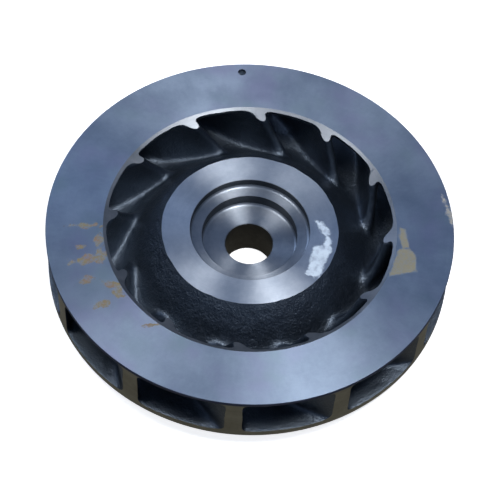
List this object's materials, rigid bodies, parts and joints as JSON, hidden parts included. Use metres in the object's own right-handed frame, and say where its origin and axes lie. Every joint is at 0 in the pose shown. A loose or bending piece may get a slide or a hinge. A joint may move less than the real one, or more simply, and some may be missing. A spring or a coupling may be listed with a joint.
{
  "type": "water pump impeller",
  "caption": "Closed centrifugal pump impeller, one casting: swept vanes between a back plate and a shroud, with an open eye and a stepped hub bore.",
  "frame": {"origin": "centre of the hub boss's bottom face, on the shaft axis", "axes": "+Z along the shaft axis, from the boss towards the eye"},
  "size_m": [0.16, 0.16, 0.032],
  "materials": {
    "cast_iron": "dark painted sand casting, with the shroud face, rim, hub face and recess turned bright"
  },
  "bodies": {
    "root": {"impeller_casting": "cast_iron"}
  },
  "joints": []
}
